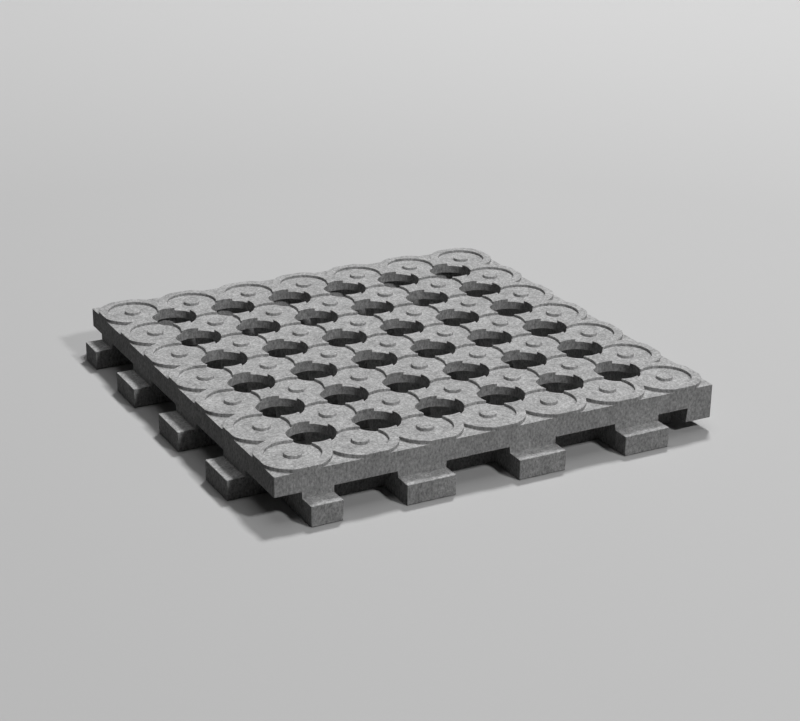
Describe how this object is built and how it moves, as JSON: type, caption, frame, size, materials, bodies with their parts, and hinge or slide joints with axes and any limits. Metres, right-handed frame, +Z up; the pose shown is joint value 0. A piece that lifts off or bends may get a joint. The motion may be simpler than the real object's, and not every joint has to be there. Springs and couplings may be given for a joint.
{
  "type": "grass paver grid",
  "caption": "Square ground grid plate with merged raised rings, round planting holes and tongues that lock under the next plate.",
  "frame": {"origin": "centre of the laying module on the ground, on the underside of the middle foot", "axes": "+Z up out of the tread, +X along the front side towards the right, +Y from the front side to the back"},
  "size_m": [0.727, 0.727, 0.074],
  "materials": {
    "grid_body": "matte, fine speckled grain"
  },
  "bodies": {
    "root": {"paver_grid": "grid_body"}
  },
  "joints": []
}
